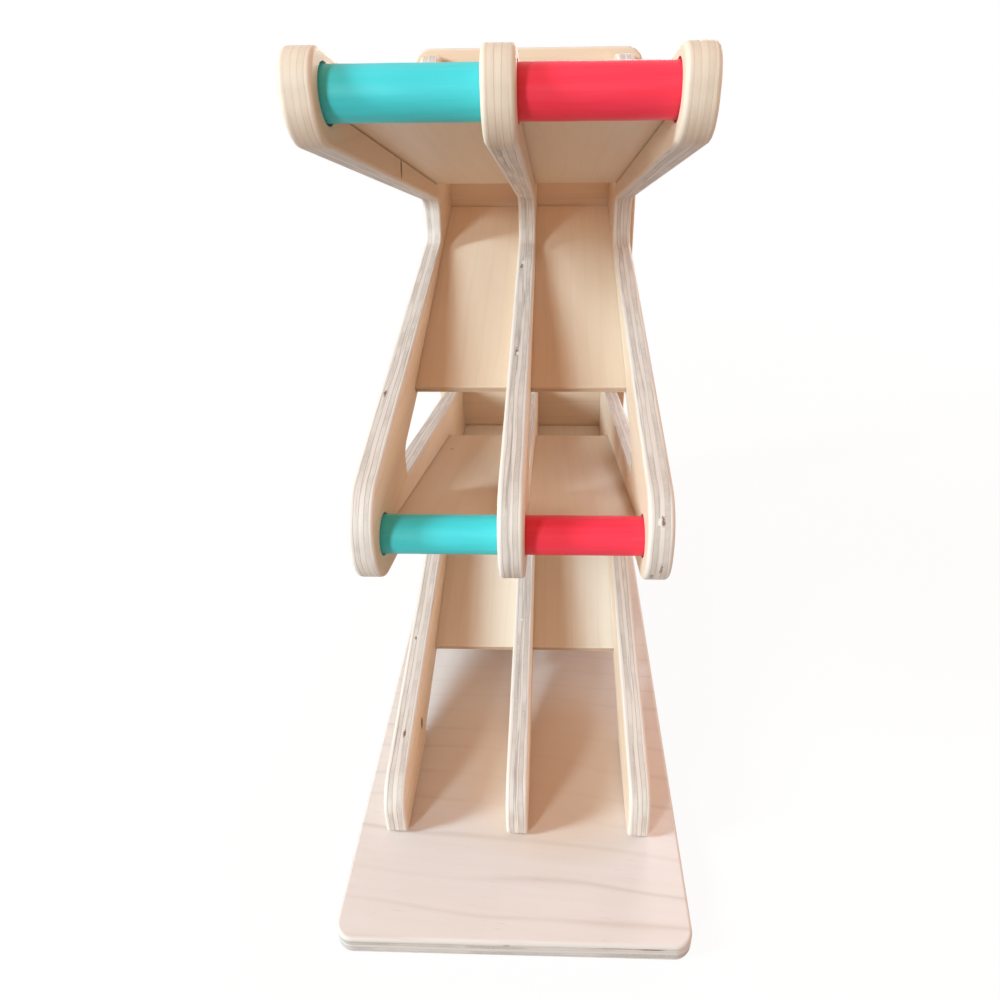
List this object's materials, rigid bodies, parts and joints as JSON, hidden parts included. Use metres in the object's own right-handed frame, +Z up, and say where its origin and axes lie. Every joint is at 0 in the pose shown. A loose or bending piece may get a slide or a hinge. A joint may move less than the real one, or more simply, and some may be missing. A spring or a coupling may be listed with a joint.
{
  "type": "car ramp toy",
  "caption": "Wooden zigzag car ramp toy with side-by-side lanes: plywood walls carry sloping ramp boards above a base plate, with a tall back board and painted cross dowels.",
  "frame": {"origin": "under the middle of the base plate, on the surface the toy stands on", "axes": "+X to the right seen from the front, +Y from the front of the base towards the back board, +Z up"},
  "size_m": [0.1326, 0.3032, 0.295],
  "materials": {
    "birch": "satin lacquered birch plywood",
    "birch_ramp": "satin lacquered thin birch plywood",
    "teal_paint": "satin painted beech dowel",
    "red_paint": "satin painted beech dowel",
    "zinc_steel": "zinc plated"
  },
  "bodies": {
    "root": {"base_plate": "birch", "back_board": "birch", "wall_left": "birch", "wall_middle": "birch", "wall_right": "birch", "ramp_1_left": "birch_ramp", "ramp_1_right": "birch_ramp", "ramp_2_left": "birch_ramp", "ramp_2_right": "birch_ramp", "ramp_3_left": "birch_ramp", "ramp_3_right": "birch_ramp", "ramp_4_left": "birch_ramp", "ramp_4_right": "birch_ramp", "dowel_top_left": "teal_paint", "dowel_top_right": "red_paint", "dowel_low_left": "teal_paint", "dowel_low_right": "red_paint", "screw_base_left_front": "zinc_steel", "screw_base_left_rear": "zinc_steel", "screw_back_left_low": "zinc_steel", "screw_back_left_mid": "zinc_steel", "screw_back_left_high": "zinc_steel", "screw_base_middle_front": "zinc_steel", "screw_base_middle_rear": "zinc_steel", "screw_back_middle_low": "zinc_steel", "screw_back_middle_mid": "zinc_steel", "screw_back_middle_high": "zinc_steel", "screw_base_right_front": "zinc_steel", "screw_base_right_rear": "zinc_steel", "screw_back_right_low": "zinc_steel", "screw_back_right_mid": "zinc_steel", "screw_back_right_high": "zinc_steel", "screw_board_left": "zinc_steel", "screw_board_middle": "zinc_steel", "screw_board_right": "zinc_steel"}
  },
  "joints": []
}
